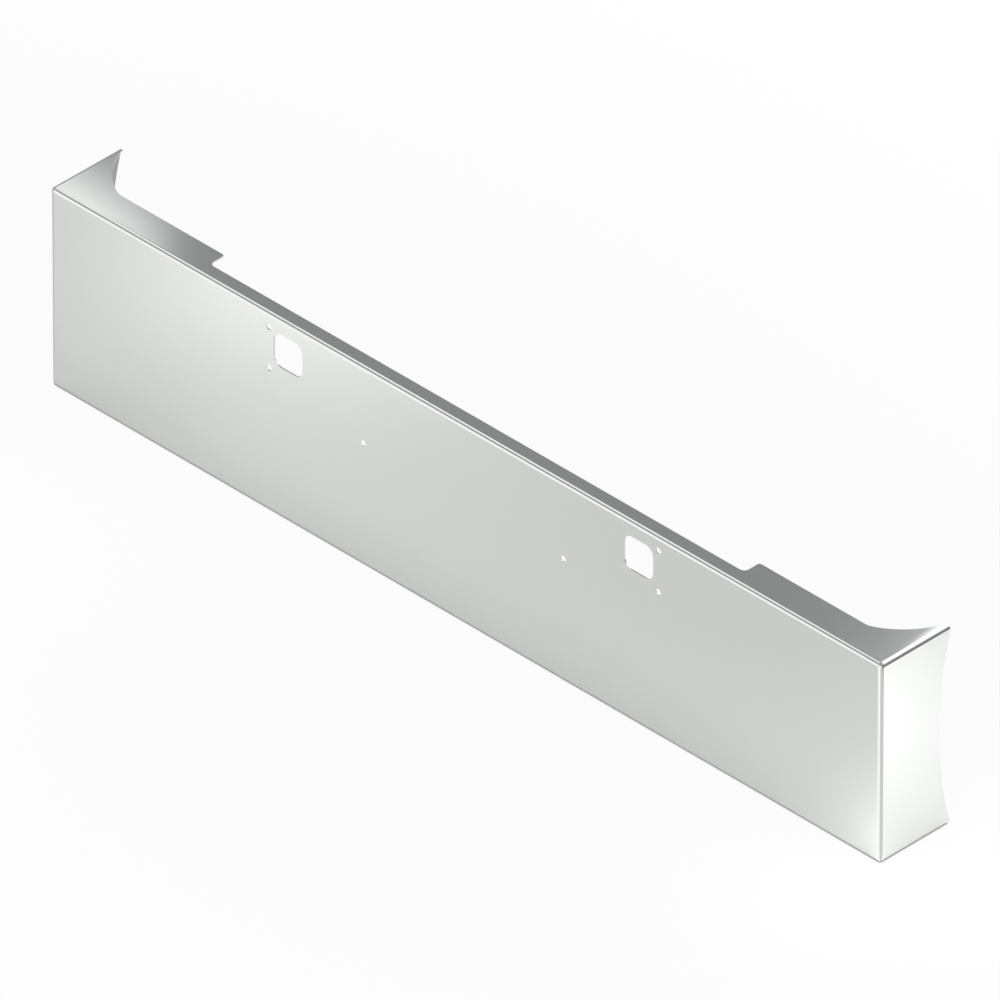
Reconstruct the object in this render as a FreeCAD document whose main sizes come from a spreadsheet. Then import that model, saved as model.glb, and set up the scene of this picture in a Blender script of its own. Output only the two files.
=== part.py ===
import FreeCAD, Part
import math
import os

import Sketcher

# Front bumper of a heavy truck: one steel sheet, folded back along its top, its bottom and both ends,
# open behind, and chrome plated. +X runs along the bumper, +Y from the face to the truck, +Z up.
# The origin lies on the ground plane, under the middle of the bumper's length and depth.

NODE = "bumper_shell"

# Driving sizes in millimetres, with what each one measures.
SIZES = [
    ("overall_length", 2438.4, "end to end, 96 in"),
    ("face_height", 508.0, "lower to upper flange, 20 in"),
    ("end_depth", 203.2, "face to the rear tips of the ends, 8 in"),
    ("sheet_thickness", 3.4, "10 gauge sheet"),
    ("fold_inner_radius", 6.6, "inside of every fold"),
    ("middle_flange_depth", 38.1, "face to the flange's edge, between the steps"),
    ("outer_flange_depth", 82.6, "face to the flange's edge, outside the steps"),
    ("step_offset", 784.5, "middle of the bumper to the step in the flange"),
    ("step_inner_radius", 12.7, "inner corner of the step"),
    ("step_outer_radius", 6.4, "outer corner of the step"),
    ("scoop_length", 120.0, "end of the bumper to the start of the flange's scoop"),
    ("scoop_radius", 196.0, "arc by which the flange widens to the end's depth"),
    ("scoop_blend_radius", 45.0, "blend from the straight edge into the scoop"),
    ("waist_hollow", 31.7, "how far the ends' rear edge draws in at half height"),
    ("waist_land", 15.0, "straight part of that edge, above and below its arc"),
    ("tow_opening_size", 84.5, "width and height of a tow opening"),
    ("tow_corner_radius", 22.5, "corners of a tow opening"),
    ("tow_offset", 514.4, "middle of the bumper to a tow opening's middle"),
    ("tow_drop", 80.0, "top of the bumper to a tow opening's middle"),
    ("bolt_hole_diameter", 15.9, "bolt holes in the face, 5/8 in"),
    ("side_bolt_margin", 14.9, "tow opening's edge to the outer holes"),
    ("side_bolt_drop", 35.2, "top of the bumper to the upper outer hole"),
    ("side_bolt_pitch", 104.4, "upper to lower outer hole"),
    ("centre_bolt_offset", 293.7, "middle of the bumper to an inner hole"),
    ("centre_bolt_drop", 194.4, "top of the bumper to the inner holes"),
]

# Places that several features share, as formulas of the driving sizes.
FOLD_RADIUS = "(Sizes.fold_inner_radius + Sizes.sheet_thickness)"
HALF_LENGTH = "Sizes.overall_length / 2"
WAIST_CHORD = "(Sizes.face_height / 2 - Sizes.waist_land)"
SIDE_BOLT_X = "Sizes.tow_offset + Sizes.tow_opening_size / 2 + Sizes.side_bolt_margin"
NEAR = 0.01


def add_sheet(document):
    """Put the driving sizes in a spreadsheet, each with an alias that the features use."""
    sheet = document.addObject("Spreadsheet::Sheet", "Sizes")
    for row, (alias, value, note) in enumerate(SIZES, start=1):
        sheet.set("A%d" % row, alias)
        sheet.set("B%d" % row, str(value))
        sheet.setAlias("B%d" % row, alias)
        sheet.set("C%d" % row, note)
    document.recompute()
    return sheet


def origin_plane(body, role):
    return next(item for item in body.Origin.OriginFeatures if item.Role == role)


def add_sketch(body, name, role):
    """Start a sketch on one of the body's own origin planes."""
    sketch = body.newObject("Sketcher::SketchObject", name)
    sketch.AttachmentSupport = [(origin_plane(body, role), "")]
    sketch.MapMode = "FlatFace"
    return sketch


def bind(sketch, label, expression, *constraint):
    """Add a named dimension to a sketch and drive it from the spreadsheet."""
    value = sketch.evalExpression(expression)
    index = sketch.addConstraint(Sketcher.Constraint(*constraint, value))
    sketch.renameConstraint(index, label)
    sketch.setExpression("Constraints." + label, expression)


def constrain(sketch, kind, *edges):
    for edge in edges:
        sketch.addConstraint(Sketcher.Constraint(kind, edge))


def line(start, end):
    return Part.LineSegment(FreeCAD.Vector(*start, 0), FreeCAD.Vector(*end, 0))


def arc(centre, radius, first, last):
    """Arc that runs anticlockwise from one direction to another, both in radians."""
    circle = Part.Circle(FreeCAD.Vector(*centre, 0), FreeCAD.Vector(0, 0, 1), radius)
    return Part.ArcOfCircle(circle, first, last)


def hollow_arc(start, end, radius):
    """Arc from start to end whose centre lies to the left of the way from one to the other."""
    across = (end[0] - start[0], end[1] - start[1])
    chord = math.hypot(*across)
    rise = math.sqrt(radius ** 2 - (chord / 2) ** 2)
    centre = (
        (start[0] + end[0]) / 2 - rise * across[1] / chord,
        (start[1] + end[1]) / 2 + rise * across[0] / chord,
    )
    first = math.atan2(start[1] - centre[1], start[0] - centre[0])
    last = math.atan2(end[1] - centre[1], end[0] - centre[0])
    return arc(centre, radius, first, last)


def add_loop(sketch, pieces, joint="Coincident"):
    """Add edges that follow one another, each starting where the one before it ends."""
    edges = [sketch.addGeometry(piece) for piece in pieces]
    for edge, following in zip(edges, edges[1:] + edges[:1]):
        sketch.addConstraint(Sketcher.Constraint(joint, edge, 2, following, 1))
    return edges


def matching_edges(shape, test):
    return ["Edge%d" % (index + 1) for index, edge in enumerate(shape.Edges) if test(edge)]


def upright_edges(shape, x, y):
    """Edges parallel to Z at (x, y) and at its mirror image (-x, y), in both flanges."""
    def stands_there(edge):
        if len(edge.Vertexes) != 2:
            return False
        foot, head = edge.Vertexes
        upright = abs(foot.X - head.X) < NEAR and abs(foot.Y - head.Y) < NEAR
        return upright and abs(abs(foot.X) - x) < NEAR and abs(foot.Y - y) < NEAR
    return matching_edges(shape, stands_there)


def add_envelope(body, sheet):
    """Pad the bumper's outer envelope to its full height, with the face on the XZ plane."""
    half = sheet.overall_length / 2
    corners = [(-half, 0), (half, 0), (half, sheet.end_depth), (-half, sheet.end_depth)]
    sketch = add_sketch(body, "envelope_outline", "XY_Plane")
    sides = [line(start, end) for start, end in zip(corners, corners[1:] + corners[:1])]
    face, right, rear, left = add_loop(sketch, sides)
    constrain(sketch, "Horizontal", face, rear)
    constrain(sketch, "Vertical", right, left)
    sketch.addConstraint(Sketcher.Constraint("Symmetric", face, 1, face, 2, -1, 1))
    bind(sketch, "along", "Sizes.overall_length", "DistanceX", face, 1, face, 2)
    bind(sketch, "deep", "Sizes.end_depth", "DistanceY", right, 1, right, 2)
    pad = body.newObject("PartDesign::Pad", "envelope")
    pad.Profile = sketch
    pad.setExpression("Length", "Sizes.face_height")
    body.Document.recompute()
    return pad


def add_folds(body, sheet, envelope):
    """Round the face's four folds and the ends' folds. They meet in ball corners."""
    def is_fold(edge):
        return any(point.Y < sheet.end_depth - NEAR for point in edge.Vertexes)
    folds = body.newObject("PartDesign::Fillet", "folds")
    folds.Base = (envelope, matching_edges(envelope.Shape, is_fold))
    folds.setExpression("Radius", FOLD_RADIUS)
    body.Document.recompute()
    return folds


def add_wall(body, sheet, folds):
    """Hollow the folded envelope from its open rear, down to one thickness of sheet."""
    rear = next(
        "Face%d" % (index + 1)
        for index, face in enumerate(folds.Shape.Faces)
        if abs(face.CenterOfMass.y - sheet.end_depth) < NEAR
    )
    wall = body.newObject("PartDesign::Thickness", "sheet_wall")
    wall.Base = (folds, [rear])
    wall.Reversed = True
    wall.setExpression("Value", "Sizes.sheet_thickness")
    body.Document.recompute()


def add_flange_cut(body, sheet):
    """Trim the right half of both flanges: shallow, then a step, then a scoop to the end's fold."""
    fold_line = body.evalExpression(HALF_LENGTH + " - " + FOLD_RADIUS)
    scoop_start = body.evalExpression(HALF_LENGTH + " - Sizes.scoop_length")
    behind = sheet.end_depth + sheet.sheet_thickness
    middle = (0, sheet.middle_flange_depth)
    step_foot = (sheet.step_offset, sheet.middle_flange_depth)
    step_head = (sheet.step_offset, sheet.outer_flange_depth)
    scoop_foot = (scoop_start, sheet.outer_flange_depth)
    scoop_head = (fold_line, sheet.end_depth)
    sketch = add_sketch(body, "flange_outline", "XY_Plane")
    shallow, step, deep, scoop, tip, rear, centre = add_loop(sketch, [
        line(middle, step_foot),
        line(step_foot, step_head),
        line(step_head, scoop_foot),
        hollow_arc(scoop_foot, scoop_head, sheet.scoop_radius),
        line(scoop_head, (fold_line, behind)),
        line((fold_line, behind), (0, behind)),
        line((0, behind), middle),
    ])
    constrain(sketch, "Horizontal", shallow, deep, rear)
    constrain(sketch, "Vertical", step, tip, centre)
    sketch.addConstraint(Sketcher.Constraint("PointOnObject", centre, 1, -2))
    bind(sketch, "middle_depth", "Sizes.middle_flange_depth", "DistanceY", -1, 1, shallow, 1)
    bind(sketch, "step_place", "Sizes.step_offset", "DistanceX", -1, 1, step, 1)
    bind(sketch, "outer_depth", "Sizes.outer_flange_depth", "DistanceY", -1, 1, deep, 1)
    bind(sketch, "scoop_start", HALF_LENGTH + " - Sizes.scoop_length", "DistanceX", -1, 1, scoop, 1)
    bind(sketch, "fold_line", HALF_LENGTH + " - " + FOLD_RADIUS, "DistanceX", -1, 1, scoop, 2)
    bind(sketch, "tip_depth", "Sizes.end_depth", "DistanceY", -1, 1, scoop, 2)
    bind(sketch, "scoop_arc", "Sizes.scoop_radius", "Radius", scoop)
    bind(sketch, "rear_clear", "Sizes.sheet_thickness", "DistanceY", tip, 1, tip, 2)
    cut = body.newObject("PartDesign::Pocket", "flange_cut")
    cut.Profile = sketch
    cut.Type = "ThroughAll"
    cut.Reversed = True
    return cut


def add_waist_cut(body, sheet):
    """Draw the rear edge of both ends in with one shallow arc."""
    low = sheet.waist_land
    high = sheet.face_height - sheet.waist_land
    behind = sheet.end_depth + sheet.sheet_thickness
    radius = "(%s^2 + Sizes.waist_hollow^2) / (2 * Sizes.waist_hollow)" % WAIST_CHORD
    sketch = add_sketch(body, "waist_outline", "YZ_Plane")
    rear, top, waist, foot = add_loop(sketch, [
        line((behind, low), (behind, high)),
        line((behind, high), (sheet.end_depth, high)),
        hollow_arc((sheet.end_depth, high), (sheet.end_depth, low), body.evalExpression(radius)),
        line((sheet.end_depth, low), (behind, low)),
    ])
    constrain(sketch, "Vertical", rear)
    constrain(sketch, "Horizontal", top, foot)
    bind(sketch, "tip_depth", "Sizes.end_depth", "DistanceX", -1, 1, waist, 1)
    bind(sketch, "rear_clear", "Sizes.sheet_thickness", "DistanceX", foot, 1, foot, 2)
    bind(sketch, "foot_land", "Sizes.waist_land", "DistanceY", -1, 1, foot, 1)
    bind(sketch, "chord", "2 * " + WAIST_CHORD, "DistanceY", rear, 1, rear, 2)
    sketch.addConstraint(Sketcher.Constraint("Vertical", waist, 1, waist, 2))
    bind(sketch, "waist_arc", radius, "Radius", waist)
    cut = body.newObject("PartDesign::Pocket", "waist_cut")
    cut.Profile = sketch
    cut.Type = "ThroughAll"
    cut.SideType = "Symmetric"
    return cut


def add_tow_cut(body, sheet):
    """Pierce the right tow opening, a square with well-rounded corners."""
    half = sheet.tow_opening_size / 2
    radius = sheet.tow_corner_radius
    flat = half - radius
    middle = (sheet.tow_offset, sheet.face_height - sheet.tow_drop)

    def at(x, z):
        return (middle[0] + x, middle[1] + z)

    sketch = add_sketch(body, "tow_outline", "XZ_Plane")
    quarter = math.pi / 2
    edges = add_loop(sketch, [
        line(at(-flat, -half), at(flat, -half)),
        arc(at(flat, -flat), radius, -quarter, 0),
        line(at(half, -flat), at(half, flat)),
        arc(at(flat, flat), radius, 0, quarter),
        line(at(flat, half), at(-flat, half)),
        arc(at(-flat, flat), radius, quarter, 2 * quarter),
        line(at(-half, flat), at(-half, -flat)),
        arc(at(-flat, -flat), radius, 2 * quarter, 3 * quarter),
    ], joint="Tangent")
    bottom, right, top, left = edges[0::2]
    corners = edges[1::2]
    constrain(sketch, "Horizontal", bottom, top)
    constrain(sketch, "Vertical", right, left)
    for corner in corners[1:]:
        sketch.addConstraint(Sketcher.Constraint("Equal", corners[0], corner))
    bind(sketch, "corner", "Sizes.tow_corner_radius", "Radius", corners[0])
    bind(sketch, "wide", "Sizes.tow_opening_size", "DistanceX", left, 1, right, 1)
    bind(sketch, "high", "Sizes.tow_opening_size", "DistanceY", bottom, 1, top, 1)
    bind(sketch, "inner_edge", "Sizes.tow_offset - Sizes.tow_opening_size / 2",
         "DistanceX", -1, 1, left, 1)
    bind(sketch, "lower_edge", "Sizes.face_height - Sizes.tow_drop - Sizes.tow_opening_size / 2",
         "DistanceY", -1, 1, bottom, 1)
    cut = body.newObject("PartDesign::Pocket", "tow_cut")
    cut.Profile = sketch
    cut.Type = "ThroughAll"
    return cut


def add_bolt_holes(body, sheet, name, places):
    """Drill bolt holes in the right half of the face, at formulas for their X and their drop."""
    sketch = add_sketch(body, name + "_centres", "XZ_Plane")
    radius = sheet.bolt_hole_diameter / 2
    for number, (across, drop) in enumerate(places, start=1):
        height = "Sizes.face_height - " + drop
        centre = (body.evalExpression(across), body.evalExpression(height))
        circle = sketch.addGeometry(
            Part.Circle(FreeCAD.Vector(*centre, 0), FreeCAD.Vector(0, 0, 1), radius))
        bind(sketch, "across_%d" % number, across, "DistanceX", -1, 1, circle, 3)
        bind(sketch, "height_%d" % number, height, "DistanceY", -1, 1, circle, 3)
        bind(sketch, "size_%d" % number, "Sizes.bolt_hole_diameter", "Diameter", circle)
    body.Document.recompute()
    hole = body.newObject("PartDesign::Hole", name)
    hole.Profile = sketch
    hole.DepthType = "ThroughAll"
    hole.setExpression("Diameter", "Sizes.bolt_hole_diameter")
    return hole


def add_mirror(body, features):
    """Repeat the right half's cuts on the left half."""
    mirror = body.newObject("PartDesign::Mirrored", "left_half")
    mirror.Originals = features
    mirror.MirrorPlane = (origin_plane(body, "YZ_Plane"), [""])
    body.Tip = mirror
    body.Document.recompute()
    return mirror


def round_corners(body, base, name, size, x, y):
    """Round the flanges' upright corners at one place of the outline."""
    corner = body.newObject("PartDesign::Fillet", name)
    corner.Base = (base, upright_edges(base.Shape, x, y))
    corner.setExpression("Radius", size)
    body.Document.recompute()
    return corner


def add_bumper(document, sheet):
    body = document.addObject("PartDesign::Body", NODE)
    body.Label = NODE
    envelope = add_envelope(body, sheet)
    folds = add_folds(body, sheet, envelope)
    add_wall(body, sheet, folds)
    add_waist_cut(body, sheet)
    right_half = [
        add_flange_cut(body, sheet),
        add_tow_cut(body, sheet),
        add_bolt_holes(body, sheet, "side_bolt_holes", [
            (SIDE_BOLT_X, "Sizes.side_bolt_drop"),
            (SIDE_BOLT_X, "(Sizes.side_bolt_drop + Sizes.side_bolt_pitch)"),
        ]),
        add_bolt_holes(body, sheet, "centre_bolt_holes", [
            ("Sizes.centre_bolt_offset", "Sizes.centre_bolt_drop"),
        ]),
    ]
    document.recompute()
    shape = add_mirror(body, right_half)
    scoop_start = sheet.overall_length / 2 - sheet.scoop_length
    shape = round_corners(body, shape, "step_inner_corners", "Sizes.step_inner_radius",
                          sheet.step_offset, sheet.middle_flange_depth)
    shape = round_corners(body, shape, "step_outer_corners", "Sizes.step_outer_radius",
                          sheet.step_offset, sheet.outer_flange_depth)
    round_corners(body, shape, "scoop_blends", "Sizes.scoop_blend_radius",
                  scoop_start, sheet.outer_flange_depth)
    body.setExpression("Placement.Base.y", "-Sizes.end_depth / 2")
    document.recompute()
    return body


def check(document, bodies):
    """Stop if a feature failed or a body isn't one sound solid."""
    for item in document.Objects:
        if "Invalid" in item.State or "Error" in item.State:
            raise RuntimeError("%s failed: %s" % (item.Name, item.State))
    for body in bodies:
        if body.Shape.isNull() or not body.Shape.isValid():
            raise RuntimeError("%s has no sound shape" % body.Label)


def main():
    document = FreeCAD.newDocument("truck_bumper")
    sheet = add_sheet(document)
    bumper = add_bumper(document, sheet)
    check(document, [bumper])
    os.makedirs("parts", exist_ok=True)
    bumper.Shape.exportStep("parts/%s.step" % bumper.Label)
    box = bumper.Shape.BoundBox
    print("%s: %d solid, %.1f x %.1f x %.1f mm, %.1f cm3" % (
        bumper.Label, len(bumper.Shape.Solids), box.XLength, box.YLength, box.ZLength,
        bumper.Shape.Volume / 1000))


main()
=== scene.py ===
# %% [markdown]
# # Front bumper of a heavy truck
# The real bumper is one steel sheet, folded back along its top, its bottom and both ends, ground smooth
# and chrome plated. The construction model is loaded first, as a fixed frame in metres: +X runs along the
# bumper, +Y from its face to the truck, +Z up. Everything below is built at the place it gives.

# %% Load the frame
import math

import bmesh
import bpy
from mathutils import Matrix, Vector


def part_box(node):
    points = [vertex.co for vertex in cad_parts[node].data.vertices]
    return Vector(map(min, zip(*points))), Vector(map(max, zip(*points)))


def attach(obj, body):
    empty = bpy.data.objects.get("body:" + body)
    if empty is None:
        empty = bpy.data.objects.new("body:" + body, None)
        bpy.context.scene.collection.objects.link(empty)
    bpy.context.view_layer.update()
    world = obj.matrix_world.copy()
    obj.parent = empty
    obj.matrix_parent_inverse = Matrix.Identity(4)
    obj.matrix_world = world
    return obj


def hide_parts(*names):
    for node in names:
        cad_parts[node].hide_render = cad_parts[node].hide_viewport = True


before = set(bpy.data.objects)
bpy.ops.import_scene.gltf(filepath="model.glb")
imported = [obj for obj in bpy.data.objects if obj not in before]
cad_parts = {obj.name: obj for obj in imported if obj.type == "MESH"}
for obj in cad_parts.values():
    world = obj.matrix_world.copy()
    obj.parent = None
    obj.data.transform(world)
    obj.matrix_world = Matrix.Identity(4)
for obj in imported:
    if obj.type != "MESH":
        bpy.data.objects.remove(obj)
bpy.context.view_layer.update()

# %% [markdown]
# ## Camera
# The drawing is an isometric view: all three axes look equally shortened, and parallel edges stay parallel.
# A very long lens from far away gives such a picture to within two or three pixels, and the camera can
# still be walked round the object. It stands at the front right, and looks down at 35.3 degrees, which is
# the isometric angle.

# %% Camera
LENS = 1700
SENSOR = 36
PICTURE_WIDTH = 2.0793
AZIMUTH, ELEVATION = math.radians(44.95), math.radians(35.31)
LOOK_AT = Vector((0.0039, 0.0039, 0.2652))

back = Vector((
    math.sin(AZIMUTH) * math.cos(ELEVATION),
    -math.cos(AZIMUTH) * math.cos(ELEVATION),
    math.sin(ELEVATION),
))
distance = PICTURE_WIDTH * LENS / SENSOR
bpy.ops.object.camera_add(location=LOOK_AT + back * distance)
camera = bpy.context.object
camera.name = "camera"
camera.rotation_euler = (-back).to_track_quat("-Z", "Y").to_euler()
camera.data.lens = LENS
camera.data.sensor_width = SENSOR
camera.data.clip_end = 2 * distance
bpy.context.scene.camera = camera
print("camera distance", round(distance, 2), "m")

# %% [markdown]
# ## Sizes
# A sheet-metal shop works from a short list of sizes: the outside of the folded box, the sheet, the radius
# of the folds, and where the flanges step. They are in millimetres here, as on the shop's drawing, and the
# outside comes from the frame itself.

# %% Sizes of the sheet and its outline
low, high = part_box("bumper_shell")
HALF_LENGTH = high.x * 1000
HEIGHT = high.z * 1000
FRONT, REAR = low.y * 1000, high.y * 1000

SHEET = 3.4
FOLD_RADIUS = 10.0
MIDDLE_FLANGE, OUTER_FLANGE = 38.1, 82.6
STEP_X = 784.5
STEP_INNER_RADIUS, STEP_OUTER_RADIUS = 12.7, 6.4
SCOOP_LENGTH, SCOOP_RADIUS, SCOOP_BLEND = 120.0, 196.0, 9.2
WAIST_HOLLOW, WAIST_LAND = 31.7, 15.0
SPARE = 20.0


def mm(*values):
    """Millimetres to metres, one value or a place."""
    metres = [value / 1000 for value in values]
    return metres[0] if len(metres) == 1 else Vector(metres)


print("outside", 2 * HALF_LENGTH, "x", REAR - FRONT, "x", HEIGHT, "mm")

# %% [markdown]
# ## How the work is selected
# By hand one would click the faces and edges to work on. Here they are picked by where they are, or by
# which way they face, so the same choice is made every time the lesson runs.

# %% Selecting by place
def choose(kind, test):
    """In edit mode, select only the faces or edges whose middle and direction pass the test."""
    bpy.ops.mesh.select_mode(type={"faces": "FACE", "edges": "EDGE"}[kind])
    bpy.ops.mesh.select_all(action="DESELECT")
    edited = bmesh.from_edit_mesh(bpy.context.edit_object.data)
    count = 0
    for part in getattr(edited, kind):
        if kind == "faces":
            middle, way = part.calc_center_median(), part.normal
        else:
            middle = (part.verts[0].co + part.verts[1].co) / 2
            way = (part.verts[1].co - part.verts[0].co).normalized()
        if test(middle * 1000, way):
            part.select_set(True)
            count += 1
    edited.select_flush_mode()
    bmesh.update_edit_mesh(bpy.context.edit_object.data)
    return count


def start_piece(name):
    """Name the primitive just added, put its place and size into its mesh, and open it for editing."""
    piece = bpy.context.object
    piece.name = piece.data.name = name
    bpy.ops.object.transform_apply(location=True, rotation=True, scale=True)
    bpy.ops.object.mode_set(mode="EDIT")
    return piece


def finish_with(piece, kind, **settings):
    """Give the piece one modifier and apply it at once."""
    bpy.ops.object.select_all(action="DESELECT")
    bpy.context.view_layer.objects.active = piece
    piece.select_set(True)
    bpy.ops.object.modifier_add(type=kind)
    modifier = piece.modifiers[-1]
    for name, value in settings.items():
        setattr(modifier, name, value)
    bpy.ops.object.modifier_apply(modifier=modifier.name)
    print(piece.name, kind.lower(), "->", len(piece.data.polygons), "faces")


# %% [markdown]
# ## The folded box
# The press folds the flat sheet over a rounded edge, so no fold is sharp: outside it has a 10 mm radius.
# At the four front corners two flanges meet an end, and the welded corner is ground to a part of a ball.
# A block of the bumper's size with its edges bevelled has just that skin, with twelve steps to a fold,
# because chrome shows every flat facet. It is a little too deep at the rear, where it is cut off later.

# %% Block with rounded folds
FOLD_STEPS = 12

bpy.ops.object.select_all(action="DESELECT")
bpy.ops.mesh.primitive_cube_add(
    size=1,
    location=mm(0, (FRONT + REAR + SPARE) / 2, HEIGHT / 2),
    scale=mm(2 * HALF_LENGTH, REAR + SPARE - FRONT, HEIGHT),
)
shell = start_piece("plated_shell")
folds = choose("edges", lambda middle, way: middle.y < REAR)
bpy.ops.mesh.bevel(offset=mm(FOLD_RADIUS), segments=FOLD_STEPS, profile=0.5, affect="EDGES")
bpy.ops.object.mode_set(mode="OBJECT")
print(folds, "edges folded,", len(shell.data.polygons), "faces")

# %% [markdown]
# ## Cutting tools
# What is cut away is easiest to see as solid tools pushed through the block. Each tool carries a marking
# colour. A boolean passes that colour to the walls it cuts, and so these walls can be picked by colour
# and taken away, which leaves only the skin with its outline and its openings.

# %% Marking colour
marking = bpy.data.materials.new("marking_colour")
print("made", marking.name)


def mark(tool):
    """Colour a cutting tool all over."""
    tool.data.materials.clear()
    tool.data.materials.append(marking)


# %% [markdown]
# ## Outline of the flanges
# The flange is narrow in the middle, where the truck's frame and grille come close. It steps back beyond
# the frame ends, and near each end an arc scoops it out to the full depth of the end plate. The tool for
# one half is a box. Its outer end is pulled out behind the step, and then spun along the arc.

# %% Flange tool
scoop_start = Vector((HALF_LENGTH - SCOOP_LENGTH, FRONT + OUTER_FLANGE, 0))
scoop_end = Vector((HALF_LENGTH - FOLD_RADIUS, REAR, 0))
chord = scoop_end - scoop_start
to_left = Vector((-chord.y, chord.x, 0)).normalized()
scoop_centre = scoop_start + chord / 2 + to_left * math.sqrt(SCOOP_RADIUS**2 - (chord.length / 2) ** 2)
SCOOP_TURN, SCOOP_STEPS = math.radians(60), 30

tool_front, tool_rear = FRONT + MIDDLE_FLANGE, REAR + 3 * SPARE
bpy.ops.object.select_all(action="DESELECT")
bpy.ops.mesh.primitive_cube_add(
    size=1,
    location=mm(STEP_X / 2, (tool_front + tool_rear) / 2, HEIGHT / 2),
    scale=mm(STEP_X, tool_rear - tool_front, HEIGHT + 2 * SPARE),
)
flange_tool = start_piece("flange_tool")
bpy.ops.mesh.bisect(plane_co=mm(0, FRONT + OUTER_FLANGE, 0), plane_no=(0, 1, 0))
choose("faces", lambda middle, way: way.x > 0.9 and middle.y > FRONT + OUTER_FLANGE)
bpy.ops.mesh.extrude_region_move(TRANSFORM_OT_translate={"value": mm(scoop_start.x - STEP_X, 0, 0)})
bpy.ops.mesh.spin(steps=SCOOP_STEPS, angle=-SCOOP_TURN, center=mm(*scoop_centre), axis=(0, 0, 1))
choose("faces", lambda middle, way: abs(middle.x) < 0.1 and way.x < -0.9)
bpy.ops.mesh.delete(type="FACE")
print("scoop spun about", [round(value, 1) for value in scoop_centre], "mm")

# %% [markdown]
# The corners of the step are rounded, so that the sheet doesn't tear there, and the straight edge blends
# into the arc. The same three bevels round the tool, which is then mirrored to the other half.

# %% Rounded corners of the flange tool
def upright_at(x, y):
    """The test for the tool's upright edge at this place."""
    return lambda middle, way: abs(way.z) > 0.9 and abs(middle.x - x) < 0.1 and abs(middle.y - y) < 0.1


CORNER_STEPS = 8

for x, y, radius in (
    (STEP_X, FRONT + MIDDLE_FLANGE, STEP_INNER_RADIUS),
    (STEP_X, FRONT + OUTER_FLANGE, STEP_OUTER_RADIUS),
    (scoop_start.x, scoop_start.y, SCOOP_BLEND),
):
    found = choose("edges", upright_at(x, y))
    bpy.ops.mesh.bevel(offset=mm(radius), segments=CORNER_STEPS, profile=0.5, affect="EDGES")
    print("rounded", found, "edge at", round(x, 1), round(y, 1))
bpy.ops.object.mode_set(mode="OBJECT")
finish_with(flange_tool, "MIRROR", use_axis=(True, False, False), merge_threshold=mm(0.05))
mark(flange_tool)

# %% [markdown]
# ## Waist of the end plates
# Seen from the side, the rear edge of each end draws in along one long arc, to clear the front tyre and
# the step of the cab. One cylinder lying along the bumper cuts both ends alike.

# %% Waist tool
WAIST_STEPS = 360
half_chord = HEIGHT / 2 - WAIST_LAND
waist_radius = (half_chord**2 + WAIST_HOLLOW**2) / (2 * WAIST_HOLLOW)

bpy.ops.object.select_all(action="DESELECT")
bpy.ops.mesh.primitive_cylinder_add(
    vertices=WAIST_STEPS,
    radius=mm(waist_radius),
    depth=mm(2 * HALF_LENGTH + 2 * SPARE),
    location=mm(0, REAR - WAIST_HOLLOW + waist_radius, HEIGHT / 2),
    rotation=(0, math.pi / 2, 0),
)
waist_tool = start_piece("waist_tool")
bpy.ops.object.mode_set(mode="OBJECT")
mark(waist_tool)
print("waist radius", round(waist_radius, 1), "mm")

# %% [markdown]
# ## Openings in the face
# Two square openings with round corners let the tow hooks through, and six round holes take the bolts of
# the frame brackets. They are laser cut before the sheet is folded. One punch is made for each size, and
# copied to its other places with a mesh of its own.

# %% Tow opening punch
TOW_SIZE, TOW_CORNER, TOW_X, TOW_Z = 84.5, 22.5, 514.4, HEIGHT - 80.0
TOW_CORNER_STEPS = 12
PUNCH_DEPTH = 40.0

bpy.ops.object.select_all(action="DESELECT")
bpy.ops.mesh.primitive_cube_add(
    size=1, location=mm(TOW_X, FRONT, TOW_Z), scale=mm(TOW_SIZE, PUNCH_DEPTH, TOW_SIZE)
)
punch = start_piece("opening_punch")
choose("edges", lambda middle, way: abs(way.y) > 0.9)
bpy.ops.mesh.bevel(offset=mm(TOW_CORNER), segments=TOW_CORNER_STEPS, profile=0.5, affect="EDGES")
bpy.ops.object.mode_set(mode="OBJECT")
print("tow opening", TOW_SIZE, "mm square, corners of", TOW_CORNER, "mm")

# %% Bolt hole punches
HOLE_DIAMETER, HOLE_STEPS = 15.9, 48
SIDE_GAP = 14.9
SIDE_X = TOW_X + TOW_SIZE / 2 + SIDE_GAP
SIDE_Z, SIDE_SPACING = HEIGHT - 35.2, 104.4
CENTRE_X, CENTRE_Z = 293.7, HEIGHT - 194.4
HOLES = ((SIDE_X, SIDE_Z), (SIDE_X, SIDE_Z - SIDE_SPACING), (CENTRE_X, CENTRE_Z))

bpy.ops.object.select_all(action="DESELECT")
first_x, first_z = HOLES[0]
bpy.ops.mesh.primitive_cylinder_add(
    vertices=HOLE_STEPS,
    radius=mm(HOLE_DIAMETER / 2),
    depth=mm(PUNCH_DEPTH),
    location=mm(first_x, FRONT, first_z),
    rotation=(math.pi / 2, 0, 0),
)
bolt_punches = [start_piece("bolt_punch")]
bpy.ops.object.mode_set(mode="OBJECT")
for (last_x, last_z), (x, z) in zip(HOLES, HOLES[1:]):
    bpy.ops.object.duplicate_move(TRANSFORM_OT_translate={"value": mm(x - last_x, 0, z - last_z)})
    bolt_punches.append(bpy.context.object)
for one in bolt_punches + [punch]:
    one.select_set(True)
bpy.context.view_layer.objects.active = punch
bpy.ops.object.join()
bpy.ops.object.transform_apply(location=True, rotation=True, scale=True)
finish_with(punch, "MIRROR", use_axis=(True, False, False), use_mirror_merge=False)
mark(punch)

# %% [markdown]
# ## Cutting
# Each tool is taken from the block in turn. The spare depth behind is sliced off, and then the marked
# walls are picked by their colour and deleted. What is left is the outer skin of the sheet, with no
# thickness yet.

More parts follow.
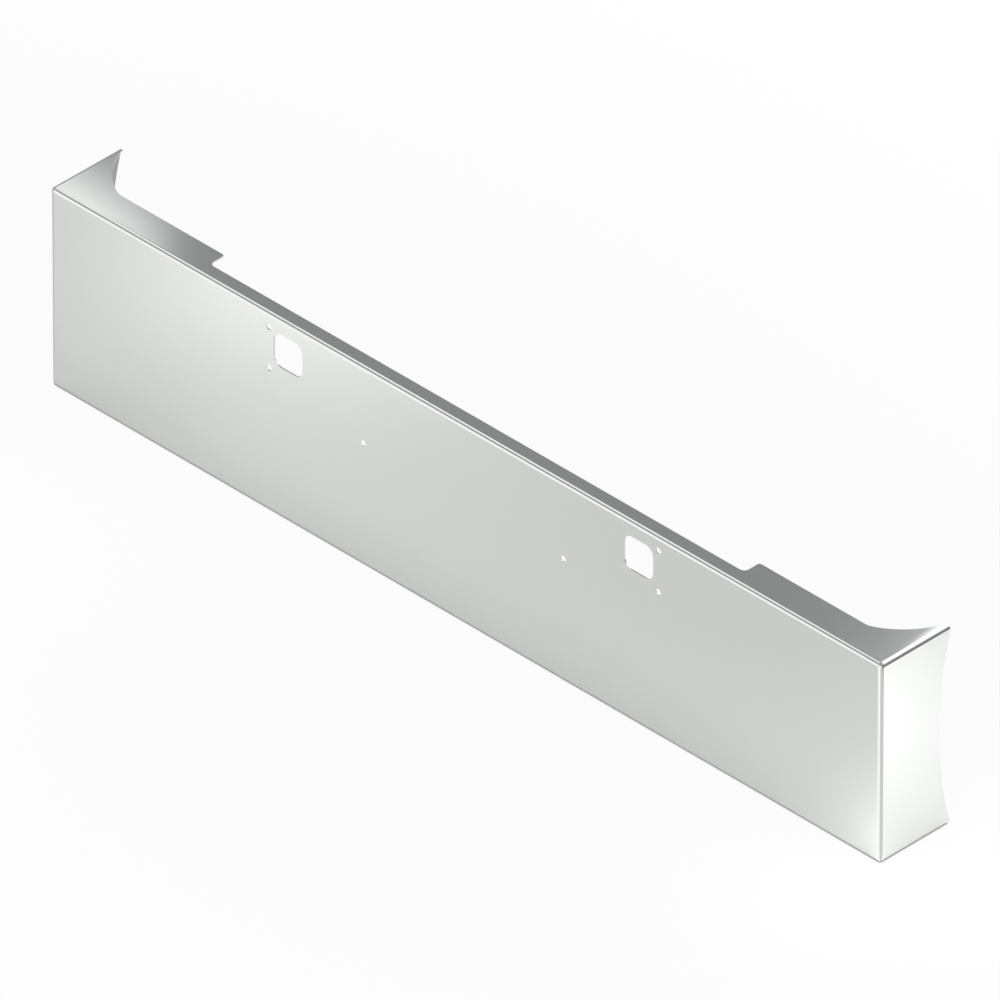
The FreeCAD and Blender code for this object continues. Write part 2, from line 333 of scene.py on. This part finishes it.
# %% Cut the block
SLICE_THRESHOLD, MERGE_DISTANCE = 0.001, 0.12

for tool in (flange_tool, waist_tool, punch):
    finish_with(
        shell, "BOOLEAN", operation="DIFFERENCE", object=tool, solver="EXACT", material_mode="TRANSFER",
    )
    bpy.data.objects.remove(tool, do_unlink=True)

bpy.ops.object.mode_set(mode="EDIT")
bpy.ops.mesh.select_all(action="SELECT")
bpy.ops.mesh.bisect(
    plane_co=mm(0, REAR, 0), plane_no=(0, 1, 0), clear_outer=True, threshold=mm(SLICE_THRESHOLD),
)
bpy.ops.mesh.select_all(action="DESELECT")
shell.active_material_index = shell.data.materials.find(marking.name)
bpy.ops.object.material_slot_select()
bpy.ops.mesh.delete(type="FACE")
bpy.ops.mesh.select_all(action="SELECT")
bpy.ops.mesh.remove_doubles(threshold=mm(MERGE_DISTANCE))
bpy.ops.mesh.select_all(action="DESELECT")
bpy.ops.object.mode_set(mode="OBJECT")
print("skin:", len(shell.data.polygons), "faces")

# %% [markdown]
# ## Thickness
# The sheet is 10 gauge, 3.4 mm. Solidify moves a copy of the skin inwards by that much, evenly round the
# folds, and closes the cut edges. The new inner faces take the second material slot. The cut edges are
# deburred after cutting, so they get a very small round, which catches a thin line of light.

# %% Give the sheet its thickness
DEBURR = 0.4

shell.data.materials.clear()
chrome = bpy.data.materials.new("chrome_plate_polished")
inner_plate = bpy.data.materials.new("nickel_flash_unpolished")
shell.data.materials.append(chrome)
shell.data.materials.append(inner_plate)
finish_with(
    shell, "SOLIDIFY", thickness=mm(SHEET), offset=-1, use_even_offset=True, use_quality_normals=True,
    use_rim=True, material_offset=1, material_offset_rim=0,
)
finish_with(
    shell, "BEVEL", width=mm(DEBURR), segments=3, limit_method="ANGLE", angle_limit=math.radians(40),
)
bpy.ops.object.shade_smooth_by_angle(angle=math.radians(50))
finish_with(shell, "WEIGHTED_NORMAL", mode="FACE_AREA", weight=50, keep_sharp=True)
print("triangles", sum(len(face.vertices) - 2 for face in shell.data.polygons))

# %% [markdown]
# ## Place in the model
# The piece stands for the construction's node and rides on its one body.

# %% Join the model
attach(shell, "root")
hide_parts("bumper_shell")
print(shell.name, "stands for bumper_shell")

# %% [markdown]
# ## Colours and nodes
# Colours are written as on a colour card, in sRGB, and turned to the linear values that light is reckoned
# in. One function adds any shader node with its settings and its links.

# %% Colour and node helpers
def linear(code):
    """The linear colour of an sRGB hex code such as #E5E7E6."""
    parts = [int(code[i:i + 2], 16) / 255 for i in (1, 3, 5)]
    return [p / 12.92 if p <= 0.04045 else ((p + 0.055) / 1.055) ** 2.4 for p in parts] + [1.0]


def add_node(tree, kind, sockets=None, **settings):
    """Add one shader node. Each named socket gets a value, or the output that feeds it."""
    made = tree.nodes.new(kind)
    for name, value in settings.items():
        setattr(made, name, value)
    for name, value in (sockets or {}).items():
        if isinstance(value, bpy.types.NodeSocket):
            tree.links.new(value, made.inputs[name])
        else:
            made.inputs[name].default_value = value
    return made


def open_tree(owner):
    """The node tree of a material or world, emptied."""
    owner.use_nodes = True
    owner.node_tree.nodes.clear()
    return owner.node_tree


print("middle grey #808080 is", round(linear("#808080")[0], 3))

# %% [markdown]
# ## Chrome plate
# Decorative chrome is a very thin layer over bright nickel on ground and buffed steel. It mirrors its
# surroundings with a faint cool, green-grey tint. Buffing leaves very fine lines along the bumper, and the
# rolled sheet stays slightly wavy. Both only soften the mirror a little, so they work on roughness and
# bump. The lines are drawn 2 mm apart, coarser than real ones, so that a picture can show them at all.

# %% Chrome plate material
LINE_LENGTH, LINE_SPACING, WAVE_LENGTH = 120, 2, 220

tree = open_tree(chrome)
place = add_node(tree, "ShaderNodeTexCoord").outputs["Object"]
along = add_node(tree, "ShaderNodeMapping", {
    "Vector": place, "Scale": (1 / mm(LINE_LENGTH), 1 / mm(LINE_SPACING), 1 / mm(LINE_SPACING)),
})
buffing = add_node(tree, "ShaderNodeTexNoise", {
    "Vector": along.outputs["Vector"], "Scale": 1.0, "Detail": 2.0,
})
waves = add_node(tree, "ShaderNodeTexNoise", {
    "Vector": place, "Scale": 1 / mm(WAVE_LENGTH), "Detail": 1.0,
})
haze = add_node(tree, "ShaderNodeMapRange", {
    "Value": buffing.outputs["Fac"], "From Min": 0.3, "From Max": 0.7, "To Min": 0.15, "To Max": 0.19,
})
wavy = add_node(tree, "ShaderNodeBump", {
    "Height": waves.outputs["Fac"], "Strength": 0.2, "Distance": mm(0.4),
})
lines = add_node(tree, "ShaderNodeBump", {
    "Height": buffing.outputs["Fac"], "Strength": 0.05, "Distance": mm(0.02),
    "Normal": wavy.outputs["Normal"],
})
plate = add_node(tree, "ShaderNodeBsdfPrincipled", {
    "Base Color": linear("#F2F5F2"), "Metallic": 1.0,
    "Roughness": haze.outputs["Result"], "Normal": lines.outputs["Normal"],
})
add_node(tree, "ShaderNodeOutputMaterial", {"Surface": plate.outputs["BSDF"]})
print(chrome.name, "has", len(tree.nodes), "nodes")

# %% [markdown]
# ## Back of the sheet
# Nobody buffs the back. The plating bath reaches it only in part, so it has a dull grey flash of nickel
# over the mill surface, cloudy over hand-sized patches.

# %% Back of the sheet
CLOUD_SIZE, GRAIN_SIZE = 90, 3

tree = open_tree(inner_plate)
place = add_node(tree, "ShaderNodeTexCoord").outputs["Object"]
clouds = add_node(tree, "ShaderNodeTexNoise", {
    "Vector": place, "Scale": 1 / mm(CLOUD_SIZE), "Detail": 3.0,
})
mill = add_node(tree, "ShaderNodeTexNoise", {
    "Vector": place, "Scale": 1 / mm(GRAIN_SIZE), "Detail": 2.0,
})
shade = add_node(tree, "ShaderNodeMix", {
    "Factor": clouds.outputs["Fac"], "A": linear("#BFC1BF"), "B": linear("#D2D4D2"),
}, data_type="RGBA")
dull = add_node(tree, "ShaderNodeMapRange", {
    "Value": clouds.outputs["Fac"], "From Min": 0.3, "From Max": 0.7, "To Min": 0.42, "To Max": 0.34,
})
grain = add_node(tree, "ShaderNodeBump", {
    "Height": mill.outputs["Fac"], "Strength": 0.1, "Distance": mm(0.05),
})
back_plate = add_node(tree, "ShaderNodeBsdfPrincipled", {
    "Base Color": shade.outputs["Result"], "Metallic": 1.0,
    "Roughness": dull.outputs["Result"], "Normal": grain.outputs["Normal"],
})
add_node(tree, "ShaderNodeOutputMaterial", {"Surface": back_plate.outputs["BSDF"]})
print(inner_plate.name, "has", len(tree.nodes), "nodes")

# %% [markdown]
# ## Studio room
# Chrome shows its room more than itself, so the room is designed for the reflections. In front the wall is
# white near the floor and grey higher up, and behind the bumper everything is a little darker. Only the
# metal sees that wall. The camera sees plain white, and matt things get an even soft light.

# %% Room
world = bpy.data.worlds.new("studio")
bpy.context.scene.world = world
tree = open_tree(world)
way = add_node(tree, "ShaderNodeTexCoord").outputs["Generated"]
axes = add_node(tree, "ShaderNodeSeparateXYZ", {"Vector": way})
walls = add_node(tree, "ShaderNodeValToRGB", {"Fac": axes.outputs["Z"]})
ramp = walls.color_ramp
ramp.elements[0].position, ramp.elements[0].color = 0.28, (1, 1, 1, 1)
ramp.elements[1].position, ramp.elements[1].color = 0.40, (0.353, 0.36, 0.366, 1)
darker = add_node(tree, "ShaderNodeMapRange", {
    "Value": axes.outputs["Y"], "From Min": -0.6, "From Max": 0.6, "To Min": 1.1, "To Max": 0.7,
})
seen = add_node(tree, "ShaderNodeMix", {
    "Factor": 1.0, "A": walls.outputs["Color"], "B": darker.outputs["Result"],
}, data_type="RGBA", blend_type="MULTIPLY")
rays = add_node(tree, "ShaderNodeLightPath")
room = add_node(tree, "ShaderNodeMix", {
    "Factor": rays.outputs["Is Glossy Ray"], "A": (0.59, 0.59, 0.59, 1), "B": seen.outputs["Result"],
}, data_type="RGBA")
backdrop = add_node(tree, "ShaderNodeMath", {
    0: rays.outputs["Is Camera Ray"], 1: rays.outputs["Is Transmission Ray"],
}, operation="MAXIMUM")
shown = add_node(tree, "ShaderNodeMix", {
    "Factor": backdrop.outputs["Value"], "A": room.outputs["Result"], "B": (1, 1, 1, 1),
}, data_type="RGBA")
light = add_node(tree, "ShaderNodeBackground", {"Color": shown.outputs["Result"], "Strength": 1.0})
add_node(tree, "ShaderNodeOutputWorld", {"Surface": light.outputs["Background"]})
print("room of", len(tree.nodes), "nodes")

# %% [markdown]
# ## Floor
# The floor is matt white paint. To the camera it fades from faintly shaded under the bumper to pure white,
# as on the drawing's white sheet. To the metal it is nearly plain paint close by, where the face mirrors
# it, and it glows white further out, where the folds see it on the horizon.

# %% Floor
FLOOR_SIZE = 40
bpy.ops.object.select_all(action="DESELECT")
bpy.ops.mesh.primitive_plane_add(size=FLOOR_SIZE, location=(0, 0, 0))
floor = bpy.context.object
floor.name = "floor"
paint = bpy.data.materials.new("studio_floor_paint")
floor.data.materials.append(paint)
tree = open_tree(paint)
rays = add_node(tree, "ShaderNodeLightPath")
matt = add_node(tree, "ShaderNodeBsdfDiffuse", {"Color": (0.93, 0.93, 0.93, 1)})
white = add_node(tree, "ShaderNodeEmission", {"Color": (1, 1, 1, 1), "Strength": 1.0})
spot = add_node(tree, "ShaderNodeTexCoord").outputs["Object"]
oval = add_node(tree, "ShaderNodeMapping", {"Vector": spot, "Scale": (0.45, 1, 1)})
reach = add_node(tree, "ShaderNodeVectorMath", {0: oval.outputs["Vector"]}, operation="LENGTH")
fade = add_node(tree, "ShaderNodeMapRange", {
    "Value": reach.outputs["Value"], "From Min": 0.8, "From Max": 2.0, "To Min": 0.92, "To Max": 1.0,
})
horizon = add_node(tree, "ShaderNodeMapRange", {
    "Value": reach.outputs["Value"], "From Min": 0.95, "From Max": 1.5, "To Min": 0.05, "To Max": 1.0,
})
to_camera = add_node(tree, "ShaderNodeMath", {
    0: rays.outputs["Is Camera Ray"], 1: fade.outputs["Result"],
}, operation="MULTIPLY")
to_metal = add_node(tree, "ShaderNodeMath", {
    0: rays.outputs["Is Glossy Ray"], 1: horizon.outputs["Result"], 2: to_camera.outputs["Value"],
}, operation="MULTIPLY_ADD")
mixed = add_node(tree, "ShaderNodeMixShader", {
    "Fac": to_metal.outputs["Value"], 1: matt.outputs["BSDF"], 2: white.outputs["Emission"],
})
add_node(tree, "ShaderNodeOutputMaterial", {"Surface": mixed.outputs["Shader"]})
print("floor", FLOOR_SIZE, "m wide")

# %% [markdown]
# ## Lamps
# The face and the end mirror the floor in front of them, so the lamps are set for the floor. They light
# matt things only, because a lamp that chrome mirrors is a harsh white spot. The big soft box behind gives
# the bumper its faint shadow, and the top one fills it in. The small lamps lighten pools on the floor. The
# face mirrors these as a soft glow at its upper left and a lighter foot, and the end as its white middle.

# %% Lamps
def soft_lamp(name, place, size, watts, target=None, turn=0.0):
    """A soft box that lights matt things only. It looks at a target, or straight down and turned."""
    bpy.ops.object.light_add(type="AREA", location=place, rotation=(0, 0, turn))
    lamp = bpy.context.object
    lamp.name = name
    if target:
        lamp.rotation_euler = (Vector(target) - Vector(place)).to_track_quat("-Z", "Y").to_euler()
    lamp.data.shape = "RECTANGLE"
    lamp.data.size, lamp.data.size_y = size
    lamp.data.energy = watts
    lamp.visible_camera = lamp.visible_glossy = False
    print(name, watts, "W")


soft_lamp("key_softbox", (1.5, 1.75, 2.1), (3.4, 1.6), 10, target=(1.35, -0.1, 0.2))
soft_lamp("top_softbox", (-1.0, -0.1, 3.0), (3.0, 1.35), 4)
soft_lamp("left_floor_lamp", (-1.11, -0.78, 0.5), (0.3, 0.3), 0.8)
soft_lamp("far_left_floor_lamp", (-1.1, -1.0, 0.7), (0.3, 0.3), 1.26)
soft_lamp("foot_strip_lamp", (0.0, -0.25, 0.3), (1.8, 0.15), 0.42)
soft_lamp("corner_floor_lamp", (1.24, -0.24, 0.2), (0.1, 0.1), 0.2)
soft_lamp("right_strip_lamp", (1.5, 0.05, 0.5), (1.1, 0.15), 1.55, turn=math.radians(45))
soft_lamp("far_right_strip_lamp", (1.73, 0.26, 0.38), (0.55, 0.1), 0.58, turn=math.radians(45))

# %% [markdown]
# ## Cards
# A photographer shapes reflections with cards of paper and cloth. These are seen by the metal alone. Their
# level says how bright they look, where 1 is white. White panels behind and above draw the white lines of
# the upper folds and the light end of the left flange, and a small card over the right flange's rear tip
# whitens that tip. Dark flags draw the thin dark lines next to the white ones, and cards on the floor with
# a corner at the bumper's foot draw the stripes of the upright folds.

# %% Cards
def card(name, place, size, level, target=None, turn=0.0):
    """A flat card that only metal shows. It faces a target, or lies flat and turned about the upright."""
    bpy.ops.object.select_all(action="DESELECT")
    bpy.ops.mesh.primitive_plane_add(size=1, location=place, rotation=(0, 0, turn))
    sheet = bpy.context.object
    sheet.name = name
    sheet.scale = (*size, 1)
    if target:
        sheet.rotation_euler = (Vector(target) - Vector(place)).to_track_quat("-Z", "Y").to_euler()
    paper = bpy.data.materials.new(name + "_paper")
    sheet.data.materials.append(paper)
    tree = open_tree(paper)
    glow = add_node(tree, "ShaderNodeEmission", {"Color": (1, 1, 1, 1), "Strength": level})
    add_node(tree, "ShaderNodeOutputMaterial", {"Surface": glow.outputs["Emission"]})
    sheet.visible_camera = sheet.visible_shadow = sheet.visible_diffuse = False
    print(name, "level", level)


def corner_card(name, side, way, width, level, height):
    """A square card on the floor with one corner at the bumper's front foot, pointing the given way."""
    foot = mm(side * HALF_LENGTH, FRONT, height)
    middle = foot + Vector((math.cos(way), math.sin(way), 0)) * width * math.sqrt(0.5)
    card(name, middle, (width, width), level, turn=way - math.radians(45))


card("key_panel", (1.605, 1.57, 2.285), (4.05, 1.08), 1.15, target=(1.45, -0.28, 0.385))
card("top_panel", (-1.8, -0.1, 3.0), (3.0, 1.35), 1.1)
card("left_panel", (-2.13, 0.703, 1.508), (0.46, 0.505), 1.22)
card("tip_card", (1.127, 0.131, 0.608), (0.04, 0.16), 1.25, turn=math.radians(8.5))
card("right_flag", (1.92, 0.4, 0.52), (2.0, 1.04), 0.22, target=(0, 0.4, 0.52))
card("left_flag", (-1.92, 0.4, 0.46), (2.0, 0.92), 0.3, target=(0, 0.4, 0.46))
corner_card("grey_corner_card", 1, math.radians(-22), 1.0, 0.66, 3)
corner_card("white_corner_card", 1, math.radians(-81), 0.8, 1.06, 2)
corner_card("left_corner_card", -1, math.radians(172), 0.9, 0.5, 2)

# %% [markdown]
# The lowest line of the folds mirrors the floor right under the bumper, which is in deep shade. Narrow
# grey strips along the foot are seen by the metal alone. They are painted shade, which gives that line its
# tone.

# %% Painted shade along the foot
SHADE_STRIP_LEVEL, SHADE_STRIP_WIDTH, SHADE_STRIP_GAP, SHADE_STRIP_HEIGHT = 0.4, 15, 3, 0.4
shade_strip_x = HALF_LENGTH + SHADE_STRIP_GAP
# Painted shade: dim glowing strips stand in for the deep shade under the bumper's foot.
card("front_painted_shade_strip", mm(0, FRONT - SHADE_STRIP_GAP, SHADE_STRIP_HEIGHT), mm(2 * shade_strip_x, SHADE_STRIP_WIDTH), SHADE_STRIP_LEVEL)
for side, name in ((1, "right_painted_shade_strip"), (-1, "left_painted_shade_strip")):
    card(name, mm(side * shade_strip_x, 0, SHADE_STRIP_HEIGHT), mm(SHADE_STRIP_WIDTH, REAR - FRONT), SHADE_STRIP_LEVEL)

# %% [markdown]
# The finish must not change the bumper's size. The picture is shown with the Standard view transform.

bpy.context.scene.view_settings.view_transform = "Standard"
